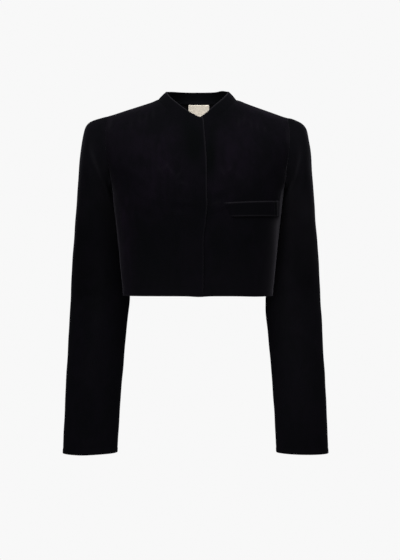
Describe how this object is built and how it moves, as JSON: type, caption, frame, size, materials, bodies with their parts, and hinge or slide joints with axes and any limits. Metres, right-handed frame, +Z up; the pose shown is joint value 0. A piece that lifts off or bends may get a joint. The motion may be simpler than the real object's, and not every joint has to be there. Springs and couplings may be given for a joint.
{
  "type": "cropped jacket with stand collar",
  "caption": "Cropped black velvet jacket in its worn hollow form, with a stand collar, concealed front closing, set-in sleeves and a chest welt pocket",
  "frame": {"origin": "middle of the neck, level with the inner ends of the shoulder seams", "axes": "+Z up along the wearer's body, +X to the wearer's left, the wearer faces -Y"},
  "size_m": [0.5372, 0.2151, 0.7357],
  "materials": {
    "black_velvet": "short velvet pile",
    "cream_label": "woven satin"
  },
  "bodies": {
    "root": {"front_right": "black_velvet", "front_left": "black_velvet", "side_right": "black_velvet", "side_left": "black_velvet", "back": "black_velvet", "sleeve_top_right": "black_velvet", "sleeve_under_right": "black_velvet", "sleeve_top_left": "black_velvet", "sleeve_under_left": "black_velvet", "collar_stand": "black_velvet", "pocket_welt": "black_velvet", "label": "cream_label"}
  },
  "joints": []
}
